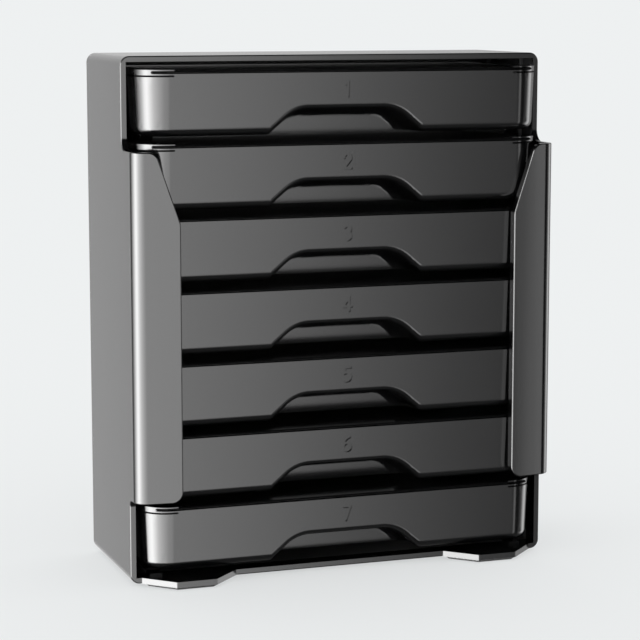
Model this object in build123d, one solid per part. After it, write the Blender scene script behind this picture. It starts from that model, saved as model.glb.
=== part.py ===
"""Weekly pill organizer: seven stacked day trays with sliding lids in an open-fronted magazine case.

Millimetres, +Z up, +X to the viewer's right, the open front faces -Y. The origin is the bottom
centre of the whole object. Trays are numbered 1 to 7 from the top down.
"""
from build123d import *
from math import asin, cos, radians, sin, tan
import os

os.makedirs("parts", exist_ok=True)

# ---- day trays -------------------------------------------------------------------------------
TRAY_COUNT = 7
tray_width = 133.0            # across the top rim
tray_depth = 52.3             # front to back at the top rim
tray_front_radius = 9.0       # front corners, seen from above
tray_back_radius = 3.0
tray_wall = 1.4
tray_draft = 2.0              # degrees that every side leans in towards the bottom
tray_bottom_fillet = 2.9
rail_height = 2.05            # two rails under the tray, which set it on the rims of the tray below
rail_width = 4.0
rail_side_inset = 3.0
rail_front_inset = 12.0
rail_back_inset = 3.0
rail_ramp = 2.4               # length of the slope at each rail's front end
face_height = 19.05           # underside of the tray body to the lid slot
slot_height = 0.9             # the lid's channel, open at the front
lip_thickness = 0.35          # over the channel, near the front corners and along the sides
slot_side_land = 3.6          # rim left at each end of the slot
frame_side_width = 5.2        # top frame that carries the lid
frame_end_width = 3.4
frame_height = 1.5            # under the channel
channel_back_wall = 1.2
divider_count = 2
divider_thickness = 1.2
divider_lid_gap = 0.2

# V-shaped line that runs round each front corner below the slot
groove_web = 0.4
groove_height = 0.55
groove_depth = 0.6
groove_front_run = 10.5       # how far the line and the lip come in from the side on the front

# finger recess at the middle of the tray's front
arch_height = 9.65
arch_half_flat = 12.3
arch_radius = 13.7
arch_slope = 40.0             # degrees
arch_lip_fillet = 1.9
recess_depth = 13.5           # at the tray's underside
recess_taper = 3.0            # degrees that its roof and sides close in towards the back
recess_back_lean = 2.5        # degrees that its back leans in more than the tray's face
recess_back_fillet = 3.2

# numeral sunk into each front
numeral_height = 5.3
numeral_stroke = 0.9
numeral_depth = 0.5
numeral_center_height = 13.9  # above the tray body's underside

# ---- sliding lids ----------------------------------------------------------------------------
lid_thickness = 0.75
lid_side_gap = 0.15
lid_end_gap = 0.3
lid_recess = 0.8              # the lid's front edge behind the tray's face
lid_nose_over = 0.45          # bevel over the front edge
lid_nose_under = 0.28         # bevel under it
nail_groove_length = 16.0
nail_groove_radius = 1.5
nail_groove_depth = 0.3
nail_groove_setback = 6.0

# ---- magazine case ---------------------------------------------------------------------------
wall = 1.8
case_radius = 3.0
side_gap = 1.7                # tray to side wall
back_gap = 0.5
stack_gap = 0.15
head_room = 2.2
runner_height = 0.75
runner_gap = 0.1
runner_front_margin = 1.2
guide_width = 1.5
guide_gap = 0.4
guide_setbacks = (8.0, 34.0)  # behind the rim
rim_to_face = 11.3            # the tray's top front edge in front of the rim
chin_reach = 5.4              # the lower rim in front of the upper rim
rim_fillet = 0.4              # outer edge of both rims and of the wings

# retaining wings in front of the five middle trays
wing_thickness = 3.0
wing_gap = 0.8
wing_width = 14.6
wing_top_gap = 2.25           # below the top tray's underside
wing_bottom_gap = 2.0         # above the bottom tray's rim
wing_slant_height = 22.0
wing_slant_inset = 7.5
wing_top_radius = 3.4
wing_bend_radius = 3.0
wing_bottom_radius = 3.5
wing_corner_radius = 4.2      # outer vertical corner, seen from above
wing_lean = 4.0               # degrees that the front turns outwards at the wing's inner edge
wing_crown_radius = 230.0     # of the front from there to the outer corner, seen from above
wing_root_top_radius = 4.0
wing_root_bottom_radius = 2.5

# foot plates in front of the floor, and the pads under them
foot_reach = 8.9
foot_front_width = 13.0
foot_inset = 19.0             # plate's middle from the case's side
foot_edge_fillet = 0.3
pad_height = 1.0
pad_inset = 1.2
pad_back_reach = 5.0          # behind the lower rim
pad_chamfer = 0.5
rear_pad_width = 26.0
rear_pad_depth = 8.0
rear_pad_setback = 5.0        # in front of the case's back
rear_pad_radius = 2.0

panel_thickness = 1.8
panel_seat = 0.9              # ledge width that the back panel sits on
panel_gap = 0.1

# ---- sizes worked out from those -------------------------------------------------------------
tray_height = rail_height + face_height + slot_height + lip_thickness
tray_pitch = tray_height + stack_gap
stack_height = TRAY_COUNT * tray_height + (TRAY_COUNT - 1) * stack_gap
case_width = tray_width + 2 * (side_gap + wall)
case_height = 2 * wall + runner_height + runner_gap + stack_height + head_room
case_depth = tray_depth - rim_to_face + back_gap + panel_thickness
wing_reach = rim_to_face + wing_gap + wing_thickness

y_front = -(case_depth + wing_reach) / 2
y_rim = y_front + wing_reach
y_back = y_rim + case_depth
y_chin = y_rim - chin_reach
y_foot = y_chin - foot_reach
y_wing_back = y_front + wing_thickness
y_tray_front = y_rim - rim_to_face
y_tray_back = y_tray_front + tray_depth

z_case = pad_height
z_case_top = z_case + case_height
z_floor = z_case + wall
z_ceiling = z_case_top - wall
z_lowest_tray = z_floor + runner_height + runner_gap
z_wing_bottom = z_lowest_tray + tray_height + wing_bottom_gap
z_wing_top = z_lowest_tray + (TRAY_COUNT - 1) * tray_pitch - wing_top_gap

inner_half_width = case_width / 2 - wall
wing_edge = case_width / 2 - wing_width
foot_center = case_width / 2 - foot_inset
rail_center = tray_width / 2 - rail_side_inset - rail_width / 2
body_height = tray_height - rail_height
draft_inset = body_height * tan(radians(tray_draft))
channel_floor = rail_height + face_height
channel_half_width = tray_width / 2 - slot_side_land
lip_edge = tray_width / 2 - groove_front_run
channel_end = y_tray_back - channel_back_wall


def slab(x0, x1, y0, y1, z0, z1):
    """A box given by its two corners."""
    return Pos((x0 + x1) / 2, (y0 + y1) / 2, (z0 + z1) / 2) * Box(x1 - x0, y1 - y0, z1 - z0)


def both_sides(shape):
    """A shape on the right, with its mirror image on the left."""
    return shape + mirror(shape, about=Plane.YZ)


# ---- case ------------------------------------------------------------------------------------
def case_outline(inset, radius):
    """Front view of the case: a rounded rectangle on the XZ plane, facing -Y."""
    middle = (z_case + z_case_top) / 2
    plane = Plane(origin=(0, 0, middle), x_dir=(1, 0, 0), z_dir=(0, -1, 0))
    return plane * RectangleRounded(case_width - 2 * inset, case_height - 2 * inset, radius)


def along_y(sketch, y0, y1):
    """Extrude a sketch of the XZ plane from y0 to y1."""
    return Pos(0, y1, 0) * extrude(sketch, amount=y1 - y0)


def plan_block():
    """Block that gives the wings their crowned fronts and round outer corners, seen from above."""
    def front(x):
        """The front's Y at x, outside the wing's inner edge."""
        turn = asin(sin(radians(wing_lean)) + (x - wing_edge) / wing_crown_radius)
        return y_front + wing_crown_radius * (cos(radians(wing_lean)) - cos(turn))

    side = case_width / 2
    crown = [(x, front(x)) for x in (wing_edge, (wing_edge + side) / 2, side)]
    right = ThreePointArc(*crown) + Line(crown[-1], (side, y_back))
    left = mirror(right, about=Plane.YZ)
    plan = make_face(right + left + Line((side, y_back), (-side, y_back)) + Line(crown[0], (-wing_edge, y_front)))
    corners = [v for v in plan.vertices() if abs(v.Y - crown[-1][1]) < 0.001]
    plan = fillet(corners, wing_corner_radius)
    return Pos(0, 0, z_case) * extrude(plan, amount=case_height, dir=(0, 0, 1))


def side_relief():
    """What is cut away in front of the upper rim and the lower rim, leaving the wings."""
    far = y_front - 5.0
    upper = [(y_rim, z_case_top + 5), (y_rim, z_wing_top), (far, z_wing_top), (far, z_case_top + 5)]
    lower = [(y_chin, z_case - 5), (y_chin, z_wing_bottom), (far, z_wing_bottom), (far, z_case - 5)]
    cut = None
    for points, radius in ((upper, wing_root_top_radius), (lower, wing_root_bottom_radius)):
        profile = make_face(Plane.YZ * Polyline(*points, close=True))
        root = profile.vertices().sort_by_distance((0, points[1][0], points[1][1]))[0]
        profile = fillet(root, radius)
        block = extrude(profile, amount=case_width, both=True)
        cut = block if cut is None else cut + block
    return cut


def wing_window():
    """Opening between the wings, wider towards its top."""
    slant = wing_edge + wing_slant_inset
    bend = z_wing_top - wing_slant_height
    over = 10.0
    slope = wing_slant_inset / wing_slant_height
    right = [
        (wing_edge, z_wing_bottom - over),
        (wing_edge, bend),
        (slant + slope * over, z_wing_top + over),
    ]
    left = [(-x, z) for x, z in reversed(right)]
    plane = Plane(origin=(0, 0, 0), x_dir=(1, 0, 0), z_dir=(0, -1, 0))
    opening = make_face(plane * Polyline(*right, *left, close=True))
    bends = [v for v in opening.vertices() if abs(v.Z - bend) < 0.01]
    opening = fillet(bends, wing_bend_radius)
    return along_y(opening, y_front - 5, y_wing_back)


def corner_trim(z_edge, x_edge, lean, radius):
    """Sliver outside an inner corner of the right wing, which rounds that corner off.

    The corner lies at (x_edge, z_edge). lean is the angle of the wing's inner edge from
    vertical, in degrees, positive where it leans away from the opening going up.
    """
    up = 1 if z_edge > (z_wing_bottom + z_wing_top) / 2 else -1
    edge_dir = Vector(-sin(radians(lean)) * up, 0, -cos(radians(lean)) * up)
    flat_dir = Vector(1, 0, 0)
    corner = Vector(x_edge, 0, z_edge)
    half = edge_dir.get_angle(flat_dir) / 2
    run = radius / tan(radians(half))
    on_edge = corner + edge_dir * run
    on_flat = corner + flat_dir * run
    bisector = (edge_dir + flat_dir).normalized()
    center = corner + bisector * (radius / sin(radians(half)))
    middle = center - bisector * radius
    outline = Line(corner, on_edge) + ThreePointArc(on_edge, middle, on_flat) + Line(on_flat, corner)
    trim = extrude(make_face(outline), amount=wing_thickness, both=True, dir=(0, 1, 0))
    return Pos(0, y_front + wing_thickness / 2, 0) * trim


def foot_plates():
    """Two forward tongues of the floor, with corners cut at 45 degrees."""
    half = foot_front_width / 2
    back = y_chin + 1.0
    spread = half + foot_reach + 1.0
    points = [(-half, y_foot), (half, y_foot), (spread, back), (-spread, back)]
    plate = extrude(make_face(Polyline(*points, close=True)), amount=wall)
    front_edges = plate.edges().filter_by(Axis.Z).group_by(Axis.Y)[0]
    plate = fillet(front_edges, foot_edge_fillet)
    return both_sides(Pos(foot_center, 0, z_case) * plate)


def make_case_shell():
    """Shell with open front, retaining wings, foot plates, guide ribs and runners."""
    shell = along_y(case_outline(0, case_radius), y_front, y_back) & plan_block()
    shell -= slab(-inner_half_width, inner_half_width, y_wing_back, y_back, z_floor, z_ceiling)
    shell -= side_relief()
    shell -= wing_window()
    lean = Vector(0, 0, 1).get_angle(Vector(wing_slant_inset, 0, wing_slant_height))
    shell -= both_sides(corner_trim(z_wing_top, wing_edge + wing_slant_inset, lean, wing_top_radius))
    shell -= both_sides(corner_trim(z_wing_bottom, wing_edge, 0, wing_bottom_radius))
    shell = soften_front(shell)
    seat = case_outline(wall - panel_seat, case_radius - (wall - panel_seat))
    shell -= along_y(seat, y_back - panel_thickness, y_back)
    shell += foot_plates()
    for setback in guide_setbacks:
        y = y_rim + setback
        reach = side_gap - guide_gap
        rib = slab(inner_half_width - reach, inner_half_width, y, y + guide_width, z_floor, z_ceiling)
        shell += both_sides(rib)
    x0 = rail_center - rail_width / 2
    y0 = y_chin + runner_front_margin
    y1 = y_back - panel_thickness
    shell += both_sides(slab(x0, x0 + rail_width, y0, y1, z_floor, z_floor + runner_height))
    return shell


def soften_front(shell):
    """Fillet the case's front outline: one smooth loop over both rims, the wings and their roots."""
    top_edge = shell.edges().sort_by_distance((0, y_rim, z_case_top))[0]
    return fillet(top_edge, rim_fillet)


def make_back_panel():
    """Flush panel that closes the back of the shell, seated on a ledge all round."""
    inset = wall - panel_seat + panel_gap
    return along_y(case_outline(inset, case_radius - inset), y_back - panel_thickness, y_back)


def make_front_pad():
    """Pad under the right foot plate, following its outline."""
    half = foot_front_width / 2 - pad_inset * tan(radians(22.5))
    front = y_foot + pad_inset
    back = y_chin + pad_back_reach
    spread = half + (y_chin - front)
    right = [(half, front), (spread, y_chin), (spread, back)]
    left = [(-x, y) for x, y in reversed(right)]
    pad = extrude(make_face(Polyline(*right, *left, close=True)), amount=pad_height)
    pad = chamfer(pad.faces().sort_by(Axis.Z)[0].edges(), pad_chamfer)
    return Pos(foot_center, 0, 0) * pad


def make_rear_pad():
    """Pad under the right rear corner of the floor."""
    pad = extrude(RectangleRounded(rear_pad_width, rear_pad_depth, rear_pad_radius), amount=pad_height)
    pad = chamfer(pad.faces().sort_by(Axis.Z)[0].edges(), pad_chamfer)
    return Pos(foot_center, y_back - rear_pad_setback - rear_pad_depth / 2, 0) * pad


# ---- trays, modelled with their rails' underside at z = 0 ------------------------------------
def tray_plan(inset):
    """The tray's outline from above, moved in by inset on every side."""
    plan = Rectangle(tray_width - 2 * inset, tray_depth - 2 * inset)
    plan = fillet(plan.vertices().group_by(Axis.Y)[0], tray_front_radius - inset)
    plan = fillet(plan.vertices().group_by(Axis.Y)[-1], tray_back_radius - min(inset, tray_back_radius / 2))
    return Pos(0, (y_tray_front + y_tray_back) / 2) * plan


def face_plane():
    """Plane of the leaning front face: x across, y up the face, origin at the body's underside."""
    lean = radians(tray_draft)
    origin = (0, y_tray_front + draft_inset, rail_height)
    return Plane(origin=origin, x_dir=(1, 0, 0), z_dir=(0, -cos(lean), -sin(lean)))


def arch(inset, below):
    """The finger recess's outline on the face, moved in by inset, and carried on below the tray."""
    slope = radians(arch_slope)
    top = arch_height - inset
    radius = arch_radius - inset
    corner = arch_half_flat + radius * tan(slope / 2)
    foot = corner + (top + below) / tan(slope)
    sketch = make_face(Polyline((-foot, -below), (foot, -below), (corner, top), (-corner, top), close=True))
    return fillet(sketch.vertices().group_by(Axis.Y)[-1], radius)


def recess_tool(inset, depth, back_fillet):
    """Solid of the finger recess, from the face inwards, rounded along its back."""
    below = rail_height + 2.0
    far = depth + 1.0
    end = Pos(0, 0, -far) * arch(inset + far * tan(radians(recess_taper)), below)
    tool = loft([arch(inset, below), end])
    behind = Pos(0, 0, -far) * Box(tray_width, 2 * tray_width, 2 * far)
    tool -= Pos(0, 0, -depth) * Rot(recess_back_lean, 0, 0) * behind
    back = tool.faces().sort_by(Axis.Z)[0]
    edges = [e for e in back.edges() if e.center().Y > -rail_height]
    return fillet(edges, back_fillet)


def recess_cutter():
    """The recess with a rounded mouth: a sheet in front of the face, joined to the recess by a fillet."""
    below = rail_height + 2.0
    sheet_width = 0.6 * tray_width
    sheet = Pos(0, (face_height - below) / 2, 1.0) * Box(sheet_width, face_height + below, 2.0)
    tool = sheet + recess_tool(arch_lip_fillet, recess_depth, recess_back_fillet)
    mouth = [e for e in tool.edges() if abs(e.bounding_box().max.Z) < 0.001
             and abs(e.bounding_box().min.Z) < 0.001
             and abs(e.center().X) < sheet_width / 2 - 1 and -below + 0.01 < e.center().Y < face_height - 1]
    return face_plane() * fillet(mouth, arch_lip_fillet)


def tray_grooves():
    """V-shaped line round both front corners, with rounded ends on the front."""
    z = channel_floor - groove_web - groove_height / 2
    outside = 0.02                # the V's rim stays this far outside the tray's side
    edges = []
    for height in (z - groove_height / 2, z + groove_height / 2):
        inset = (tray_height - height) * tan(radians(tray_draft)) - outside
        edges.append(Pos(0, 0, height) * tray_plan(inset))
    root = Pos(0, 0, z) * tray_plan((tray_height - z) * tan(radians(tray_draft)) + groove_depth)
    ring = Pos(0, 0, z - groove_height / 2) * extrude(tray_plan(-1.0), amount=groove_height)
    ring -= loft([edges[0], root])
    ring -= loft([root, edges[1]])
    length = 2 * groove_front_run
    run = Plane.XZ * SlotOverall(length, groove_height)
    run = Pos(lip_edge + length / 2, 0, z) * extrude(run, amount=tray_depth, both=True)
    return both_sides(ring & run)


def lid_channel():
    """Slot for the lid, open through the front and, between the lips, through the top of the front."""
    profile = Plane.XZ * SlotOverall(2 * channel_half_width, slot_height)
    profile = Pos(0, 0, channel_floor + slot_height / 2) * profile
    y0 = y_tray_front - 1
    mouth = slab(-lip_edge, lip_edge, y0, y_tray_front + frame_end_width + 1, channel_floor, tray_height + 1)
    return along_y(profile, y0, channel_end) + mouth


def bar(start, end):
    """Straight stroke with round ends, between two points of the unit numeral box."""
    size = numeral_height - numeral_stroke
    a, b = Vector(*start) * size, Vector(*end) * size
    return SlotCenterPoint((a + b) / 2, b, numeral_stroke)


def bow(start, middle, end):
    """Curved stroke with round ends, through three points of the unit numeral box."""
    size = numeral_height - numeral_stroke
    points = [Vector(*point) * size for point in (start, middle, end)]
    return SlotArc(ThreePointArc(*points), numeral_stroke)


def hoop(y, radius):
    """Round stroke, centred at height y of the unit numeral box."""
    size = numeral_height - numeral_stroke
    ring = Circle(radius * size + numeral_stroke / 2) - Circle(radius * size - numeral_stroke / 2)
    return Pos(0, y * size) * ring


def numeral(number):
    """A plain numeral from 1 to 7, made of strokes; the unit box is one high, centred on the origin."""
    if number == 1:
        return bar((-0.16, 0.32), (0.04, 0.5)) + bar((0.04, 0.5), (0.04, -0.5))
    if number == 2:
        top = bow((-0.26, 0.24), (0.09, 0.484), (0.2, 0.07))
        return top + bar((0.2, 0.07), (-0.27, -0.5)) + bar((-0.27, -0.5), (0.28, -0.5))
    if number == 3:
        top = bow((-0.21, 0.38), (0.21, 0.38), (0.0, 0.02))
        return top + bow((0.0, 0.02), (0.225, -0.37), (-0.225, -0.37))
    if number == 4:
        arm = bar((0.14, 0.5), (-0.3, -0.2)) + bar((-0.3, -0.2), (0.3, -0.2))
        return arm + bar((0.14, 0.5), (0.14, -0.5))
    if number == 5:
        flag = bar((0.24, 0.5), (-0.18, 0.5)) + bar((-0.18, 0.5), (-0.22, 0.06))
        return flag + bow((-0.22, 0.06), (0.27, -0.16), (-0.27, -0.4))
    if number == 6:
        return hoop(-0.22, 0.28) + bow((-0.28, -0.22), (-0.17, 0.26), (0.18, 0.5))
    return bar((-0.26, 0.5), (0.27, 0.5)) + bar((0.27, 0.5), (-0.08, -0.5))


def numeral_cutter(number):
    """The numeral, sunk into the front face."""
    sunk = Pos(0, numeral_center_height, -numeral_depth) * extrude(numeral(number), amount=numeral_depth + 1)
    return face_plane() * sunk


def tray_interior():
    """Space inside the walls and the opening of the top frame."""
    floor = rail_height + tray_wall
    frame_bottom = channel_floor - frame_height
    space = Pos(0, 0, floor) * extrude(tray_plan(draft_inset + tray_wall), amount=frame_bottom - floor)
    frame_x = tray_width / 2 - frame_side_width
    frame_y0 = y_tray_front + frame_end_width
    frame_y1 = y_tray_back - frame_end_width
    space += slab(-frame_x, frame_x, frame_y0, frame_y1, frame_bottom, tray_height)
    space -= face_plane() * recess_tool(arch_lip_fillet - tray_wall, recess_depth + tray_wall, recess_back_fillet)
    return space


def tray_dividers():
    """Upright walls that part the tray into equal compartments."""
    half_width = tray_width / 2 - draft_inset - tray_wall
    spacing = 2 * half_width / (divider_count + 1)
    bottom = rail_height + tray_wall / 2
    top = channel_floor - divider_lid_gap
    y0 = y_tray_front + tray_wall + draft_inset / 2
    y1 = y_tray_back - tray_wall - draft_inset / 2
    walls = None
    for index in range(divider_count):
        x = -half_width + (index + 1) * spacing
        one = slab(x - divider_thickness / 2, x + divider_thickness / 2, y0, y1, bottom, top)
        walls = one if walls is None else walls + one
    return walls


def tray_rail():
    """Rail under the right side of a tray, with a ramp at its front end."""
    y0 = y_tray_front + rail_front_inset
    y1 = y_tray_back - rail_back_inset
    top = rail_height + tray_wall / 2
    side = [(y0, top), (y0, rail_height), (y0 + rail_ramp, 0), (y1, 0), (y1, top)]
    rail = extrude(make_face(Plane.YZ * Polyline(*side, close=True)), amount=rail_width / 2, both=True)
    return Pos(rail_center, 0, 0) * rail


def make_tray_blank():
    """One tray without its numeral."""
    top = Pos(0, 0, tray_height) * tray_plan(0)
    bottom = Pos(0, 0, rail_height) * tray_plan(draft_inset)
    body = loft([bottom, top])
    body = fillet(body.faces().sort_by(Axis.Z)[0].edges(), tray_bottom_fillet)
    shape = body + both_sides(tray_rail())
    shape = shape - (tray_interior() - tray_dividers())
    shape -= lid_channel()
    shape -= recess_cutter()
    shape -= tray_grooves()
    return shape


def make_lid():
    """Sliding lid with rounded long edges, a pointed front edge and a shallow groove for a fingernail."""
    width = 2 * (channel_half_width - lid_side_gap)
    profile = Plane.XZ * SlotOverall(width, lid_thickness)
    z = channel_floor + slot_height / 2
    y0 = y_tray_front + lid_recess
    y1 = channel_end - lid_end_gap
    low, high = z - lid_thickness / 2, z + lid_thickness / 2
    side = [(y0, low + lid_nose_under), (y0, high - lid_nose_over), (y0 + lid_nose_over, high),
            (y1, high), (y1, low), (y0 + lid_nose_under, low)]
    lid = along_y(Pos(0, 0, z) * profile, y0, y1)
    lid &= extrude(make_face(Plane.YZ * Polyline(*side, close=True)), amount=width, both=True)
    groove = Rot(0, 90, 0) * Cylinder(nail_groove_radius, nail_groove_length)
    groove_z = high - nail_groove_depth + nail_groove_radius
    return lid - Pos(0, y0 + nail_groove_setback, groove_z) * groove


# ---- write every piece where it sits ---------------------------------------------------------
export_step(make_case_shell(), "parts/case_shell.step")
export_step(make_back_panel(), "parts/back_panel.step")

front_pad = make_front_pad()
rear_pad = make_rear_pad()
export_step(front_pad, "parts/foot_pad_front_right.step")
export_step(mirror(front_pad, about=Plane.YZ), "parts/foot_pad_front_left.step")
export_step(rear_pad, "parts/foot_pad_rear_right.step")
export_step(mirror(rear_pad, about=Plane.YZ), "parts/foot_pad_rear_left.step")

tray_blank = make_tray_blank()
lid_blank = make_lid()
for tray_number in range(1, TRAY_COUNT + 1):
    place = Pos(0, 0, z_lowest_tray + (TRAY_COUNT - tray_number) * tray_pitch)
    day_tray = tray_blank - numeral_cutter(tray_number)
    export_step(place * day_tray, f"parts/tray_{tray_number}.step")
    export_step(place * lid_blank, f"parts/lid_{tray_number}.step")
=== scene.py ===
"""Weekly pill organizer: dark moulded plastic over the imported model, on a pale floor.

Metres, +Z up, +X to the viewer's right; the open front faces -Y. Every moulded piece is the model's
own mesh. This script gives each its finish, and sets the floor, the studio light and the camera.
"""
from math import cos, pi, radians

import bpy
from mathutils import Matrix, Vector

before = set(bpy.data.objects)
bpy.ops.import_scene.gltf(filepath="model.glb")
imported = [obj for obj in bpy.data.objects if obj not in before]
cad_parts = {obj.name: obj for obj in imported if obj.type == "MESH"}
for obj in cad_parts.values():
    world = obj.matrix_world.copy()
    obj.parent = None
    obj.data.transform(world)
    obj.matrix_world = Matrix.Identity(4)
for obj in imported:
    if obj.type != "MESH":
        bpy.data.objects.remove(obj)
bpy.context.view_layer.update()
scene = bpy.context.scene
scene.view_settings.view_transform = "Standard"

# ---- camera, at the photograph's angle --------------------------------------------------------
CAMERA_PLACE = (-0.2370, -0.6671, 0.1818)
CAMERA_YAW = 19.53             # degrees that it looks to the right of +Y
CAMERA_PITCH = 8.30            # degrees that it looks down
CAMERA_LENS = 123.3            # mm
CAMERA_CLIP = (0.01, 200.0)
SENSOR_WIDTH = 36.0            # mm

# ---- finishes ---------------------------------------------------------------------------------
PLASTIC_IOR = 1.5
DARK = (0.0035, 0.0035, 0.0037)
RUBBER = (0.022, 0.022, 0.022)
MOTTLE_SCALE = 35.0            # clouds to the metre
MOTTLE_DETAIL = 3.0
GLOSS_SPREAD = 0.07            # share by which the roughness follows the mottle
FINE_GRAIN = 0.0006            # size of the surface's grain
PAD_GRAIN = 0.0004
GRAIN_DETAIL = 2.0
GRAIN_DEPTH = 0.00002

# inside the case, and on the trays' back walls, the plastic is less polished
DULLER = 0.5                   # added to the roughness there
INSIDE_REACH = 0.0684          # half the width inside the case, and a little into its walls
INSIDE_HEIGHT = (0.0830, 0.0806)   # Z of its middle, and from there a little into floor and ceiling
BEHIND_RIM = -0.0136           # Y where it starts in the case, just behind the upper rim
TRAY_BACK_WALL = 0.0250        # Y where it starts on a tray, just in front of the back wall
FAR_BACK = 1.0                 # half the length of the duller range, which ends far behind the object

# by the first word of a node's name: material, colour, roughness, strength of the grain, mottle,
# size of the grain, and the Y behind which it is duller
FINISHES = {
    "case": ("case_plastic", DARK, 0.15, 0.25, 0.06, FINE_GRAIN, BEHIND_RIM),
    "tray": ("tray_plastic", DARK, 0.15, 0.20, 0.06, FINE_GRAIN, TRAY_BACK_WALL),
    "lid": ("lid_plastic", DARK, 0.15, 0.15, 0.05, FINE_GRAIN, None),
    "foot": ("pad_rubber", RUBBER, 0.60, 0.60, 0.12, PAD_GRAIN, None),
    "back": ("panel_plastic", DARK, 0.65, 0.30, 0.06, FINE_GRAIN, None),
}

# ---- shading of the model's own meshes --------------------------------------------------------
SAME_SPOT = 2e-7               # grid on which doubled vertices fall together
FLAT_ANGLE = 0.4               # degrees between faces of one flat area
SHARP_ANGLE = 24.0             # degrees; a corner sharper than this stays sharp

# ---- stage ------------------------------------------------------------------------------------
FLOOR_SIZE = 60.0
BACKDROP = (0.856, 0.875, 0.879)
ROOM_LIGHT = 1.0               # even light on matt surfaces
FLOOR_SHADOW = 0.35            # how much of the object's shadow the floor shows

# ---- studio seen in gloss: radiance by bearing, 0 in front and + to the viewer's left ---------
STUDIO = (
    (-180, 1.0),               # pale backdrop
    (-135, 0.3),
    (-112, 1.0),               # narrow panel on the right
    (-98, 4.6),
    (-88, 3.6),
    (-76, 0.7),
    (-62, 0.05),
    (-45, 0.05),
    (-42, 1.6),                # thin strip
    (-39, 3.0),
    (-36, 2.0),
    (-33, 0.7),
    (-29, 0.3),
    (-26, 0.35),
    (-24, 0.5),                # large panel from the front to the left, brighter to the left
    (-22, 1.2),
    (-20, 2.1),
    (-18, 3.05),
    (-15.5, 4.15),
    (-12.5, 4.9),
    (5, 5.6),
    (25, 8.0),
    (50, 12.5),
    (66, 18.5),
    (78, 23.0),
    (90, 19.5),
    (105, 10.5),
    (120, 4.2),
    (135, 0.6),
    (152, 0.2),
    (165, 1.0),                # pale backdrop again
    (180, 1.0),
)
STUDIO_PEAK = max(radiance for _, radiance in STUDIO)
BAND_TOP = (0.42, 0.62)        # height where the panels fade out above, leaning up towards the back
BAND_LEAN = 0.35
BAND_BOTTOM = (-0.40, -0.62)   # and below
BELOW = 0.15                   # share of a plain radiance seen under the panels


class Nodes:
    """Short way to write a node tree."""

    def __init__(self, tree):
        self.tree = tree

    def add(self, kind, **settings):
        node = self.tree.nodes.new(kind)
        for name, value in settings.items():
            setattr(node, name, value)
        return node

    def link(self, source, target):
        """Join an output, or set a plain value."""
        if isinstance(source, (int, float, tuple)):
            target.default_value = source
        else:
            self.tree.links.new(source, target)

    def math(self, operation, *values):
        """Result of a maths node. COMPARE is 1 where the first is within the third of the second."""
        node = self.add("ShaderNodeMath", operation=operation)
        for value, socket in zip(values, node.inputs):
            self.link(value, socket)
        return node.outputs[0]

    def step(self, value, low, high):
        """0 at low and 1 at high, eased."""
        node = self.add("ShaderNodeMapRange", interpolation_type="SMOOTHSTEP")
        self.link(value, node.inputs["Value"])
        self.link(low, node.inputs["From Min"])
        self.link(high, node.inputs["From Max"])
        return node.outputs[0]

    def noise(self, place, scale, detail):
        node = self.add("ShaderNodeTexNoise")
        self.link(place, node.inputs["Vector"])
        self.link(scale, node.inputs["Scale"])
        self.link(detail, node.inputs["Detail"])
        return node.outputs["Fac"]


def duller_inside(tree, place, behind):
    """DULLER between the case's walls and behind the given Y, 0 elsewhere."""
    axes = tree.add("ShaderNodeSeparateXYZ")
    tree.link(place, axes.inputs[0])
    ranges = ((0.0, INSIDE_REACH), (behind + FAR_BACK, FAR_BACK), INSIDE_HEIGHT)
    extra = DULLER
    for axis, (middle, reach) in zip(axes.outputs, ranges):
        extra = tree.math("MULTIPLY", tree.math("COMPARE", axis, middle, reach), extra)
    return extra


def material(name, base, roughness, grain, mottle, grain_size, dull_behind):
    """Even colour with a faint mottle, fine grain in the surface and slightly uneven gloss."""
    mat = bpy.data.materials.new(name)
    mat.use_nodes = True
    tree = Nodes(mat.node_tree)
    shader = mat.node_tree.nodes["Principled BSDF"]
    tree.link(PLASTIC_IOR, shader.inputs["IOR"])
    place = tree.add("ShaderNodeTexCoord").outputs["Object"]
    cloud = tree.noise(place, MOTTLE_SCALE, MOTTLE_DETAIL)

    tone = tree.add("ShaderNodeMix", data_type="RGBA")
    tree.link(cloud, tone.inputs["Factor"])
    tree.link((*[c * (1 - mottle) for c in base], 1), tone.inputs["A"])
    tree.link((*[c * (1 + mottle) for c in base], 1), tone.inputs["B"])
    tree.link(tone.outputs["Result"], shader.inputs["Base Color"])

    gloss = tree.add("ShaderNodeMapRange")
    tree.link(cloud, gloss.inputs["Value"])
    tree.link(roughness * (1 - GLOSS_SPREAD), gloss.inputs["To Min"])
    tree.link(roughness * (1 + GLOSS_SPREAD), gloss.inputs["To Max"])
    rough = gloss.outputs["Result"]
    if dull_behind is not None:
        rough = tree.math("ADD", rough, duller_inside(tree, place, dull_behind))
    tree.link(rough, shader.inputs["Roughness"])

    bump = tree.add("ShaderNodeBump")
    tree.link(grain, bump.inputs["Strength"])
    tree.link(GRAIN_DEPTH, bump.inputs["Distance"])
    tree.link(tree.noise(place, 1 / grain_size, GRAIN_DETAIL), bump.inputs["Height"])
    tree.link(bump.outputs["Normal"], shader.inputs["Normal"])
    return mat


def flat_areas(mesh, spots):
    """For each face, one face that stands for the whole flat area that it is part of."""
    by_edge = {}
    for face in mesh.polygons:
        ring = [spots[index] for index in face.vertices]
        for pair in zip(ring, ring[1:] + ring[:1]):
            by_edge.setdefault(frozenset(pair), []).append(face.index)
    link = list(range(len(mesh.polygons)))

    def end_of(index):
        while link[index] != index:
            link[index] = link[link[index]]
            index = link[index]
        return index

    flat = cos(radians(FLAT_ANGLE))
    for faces in by_edge.values():
        for a, b in zip(faces, faces[1:]):
            if mesh.polygons[a].normal.dot(mesh.polygons[b].normal) > flat:
                link[end_of(a)] = end_of(b)
    return [end_of(index) for index in link]


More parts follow.
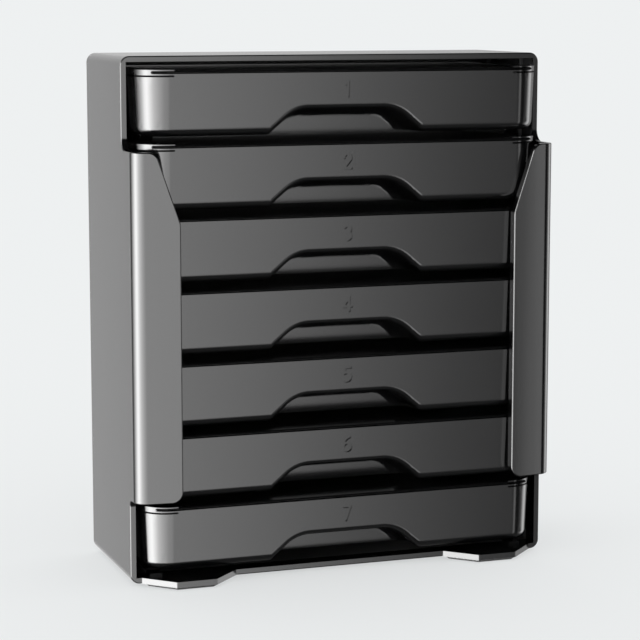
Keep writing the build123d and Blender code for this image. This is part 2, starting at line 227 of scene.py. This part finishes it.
def smooth_normals(mesh):
    """Shades rounded faces smoothly and flat ones flat.

    At each corner, the flat areas that meet there count by their size, so the largest one leads.
    """
    spots = [tuple(round(c / SAME_SPOT) for c in vertex.co) for vertex in mesh.vertices]
    areas = flat_areas(mesh, spots)
    sizes = {}
    around = {}
    for face in mesh.polygons:
        area = areas[face.index]
        sizes[area] = sizes.get(area, 0.0) + face.area
        for index in face.vertices:
            around.setdefault(spots[index], {})[area] = face.normal.copy()

    smooth = cos(radians(SHARP_ANGLE))
    normals = []
    for face in mesh.polygons:
        for index in face.vertices:
            total = Vector((0.0, 0.0, 0.0))
            for area, normal in around[spots[index]].items():
                if normal.dot(face.normal) > smooth:
                    total += normal * sizes[area]
            normals.append(total.normalized() if total.length > 0 else face.normal.copy())
    mesh.shade_smooth()
    mesh.normals_split_custom_set(normals)


def dress_nodes():
    """Gives every node its finish, and smooth shading across its rounded faces."""
    materials = {kind: material(*finish) for kind, finish in FINISHES.items()}
    for name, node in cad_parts.items():
        node.data.materials.clear()
        node.data.materials.append(materials[name.split("_")[0]])
        smooth_normals(node.data)


def make_floor():
    """Pale floor that reaches the horizon; gloss looks through it to the studio."""
    mesh = bpy.data.meshes.new("floor")
    half = FLOOR_SIZE / 2
    corners = [(-half, -half, 0), (half, -half, 0), (half, half, 0), (-half, half, 0)]
    mesh.from_pydata(corners, [], [(0, 1, 2, 3)])
    floor = bpy.data.objects.new("floor", mesh)
    scene.collection.objects.link(floor)
    mat = bpy.data.materials.new("floor_paper")
    mat.use_nodes = True
    mat.node_tree.nodes.clear()
    tree = Nodes(mat.node_tree)
    paper = tree.add("ShaderNodeBsdfDiffuse")
    tree.link((*[c / ROOM_LIGHT for c in BACKDROP], 1), paper.inputs["Color"])
    plain = tree.add("ShaderNodeEmission")
    tree.link((*BACKDROP, 1), plain.inputs["Color"])
    camera_ray = tree.add("ShaderNodeLightPath").outputs["Is Camera Ray"]
    mix = tree.add("ShaderNodeMixShader")
    tree.link(tree.math("MULTIPLY", camera_ray, 1 - FLOOR_SHADOW), mix.inputs["Fac"])
    tree.link(paper.outputs[0], mix.inputs[1])
    tree.link(plain.outputs[0], mix.inputs[2])
    out = tree.add("ShaderNodeOutputMaterial")
    tree.link(mix.outputs[0], out.inputs["Surface"])
    mesh.materials.append(mat)
    floor.visible_glossy = False


def studio_ramp(tree, turn):
    """The studio's radiance by bearing, as a share of its peak; turn runs from 0 to 1."""
    ramp = tree.add("ShaderNodeValToRGB")
    stops = ramp.color_ramp.elements
    stops.remove(stops[1])
    for index, (degrees, radiance) in enumerate(STUDIO):
        spot = degrees / 360 + 0.5
        stop = stops[0] if index == 0 else stops.new(spot)
        stop.position = spot
        stop.color = (*[radiance / STUDIO_PEAK] * 3, 1)
    tree.link(turn, ramp.inputs["Fac"])
    return ramp.outputs["Color"]


def make_studio():
    """World: the backdrop to the camera, light panels to gloss, and even light to matt surfaces."""
    world = bpy.data.worlds.new("studio")
    scene.world = world
    world.use_nodes = True
    world.cycles.sampling_method = "NONE"
    world.node_tree.nodes.clear()
    tree = Nodes(world.node_tree)
    axes = tree.add("ShaderNodeSeparateXYZ")
    tree.link(tree.add("ShaderNodeTexCoord").outputs["Generated"], axes.inputs[0])
    x, y, z = axes.outputs

    left = tree.math("MULTIPLY", x, -1.0)
    ahead = tree.math("MULTIPLY", y, -1.0)
    bearing = tree.math("ARCTAN2", left, ahead)
    panels = studio_ramp(tree, tree.math("ADD", tree.math("DIVIDE", bearing, 2 * pi), 0.5))
    height = tree.math("SUBTRACT", z, tree.math("MULTIPLY", y, BAND_LEAN))
    over = tree.step(height, BAND_TOP[1], BAND_TOP[0])
    under = tree.step(z, BAND_BOTTOM[1], BAND_BOTTOM[0])
    band = tree.math("MULTIPLY", over, under)
    strength = tree.math("MULTIPLY", panels, tree.math("MULTIPLY", band, STUDIO_PEAK))
    low = tree.math("MULTIPLY", tree.math("SUBTRACT", 1.0, under), BELOW)
    seen = tree.math("ADD", strength, low)

    path = tree.add("ShaderNodeLightPath")
    gloss = tree.add("ShaderNodeMix", data_type="FLOAT")
    tree.link(path.outputs["Is Glossy Ray"], gloss.inputs["Factor"])
    tree.link(ROOM_LIGHT, gloss.inputs["A"])
    tree.link(seen, gloss.inputs["B"])
    light = tree.add("ShaderNodeBackground")
    tree.link(gloss.outputs["Result"], light.inputs["Strength"])
    tree.link((1, 1, 1, 1), light.inputs["Color"])
    plain = tree.add("ShaderNodeBackground")
    tree.link((*BACKDROP, 1), plain.inputs["Color"])
    mix = tree.add("ShaderNodeMixShader")
    tree.link(path.outputs["Is Camera Ray"], mix.inputs["Fac"])
    tree.link(light.outputs[0], mix.inputs[1])
    tree.link(plain.outputs[0], mix.inputs[2])
    out = tree.add("ShaderNodeOutputWorld")
    tree.link(mix.outputs[0], out.inputs["Surface"])


def make_camera():
    """Camera at the photograph's viewing angle."""
    data = bpy.data.cameras.new("camera")
    data.lens = CAMERA_LENS
    data.sensor_width = SENSOR_WIDTH
    data.sensor_fit = "HORIZONTAL"
    data.clip_start, data.clip_end = CAMERA_CLIP
    camera = bpy.data.objects.new("camera", data)
    camera.location = CAMERA_PLACE
    camera.rotation_euler = (radians(90 - CAMERA_PITCH), 0, radians(-CAMERA_YAW))
    scene.collection.objects.link(camera)
    scene.camera = camera


dress_nodes()
make_floor()
make_studio()
make_camera()
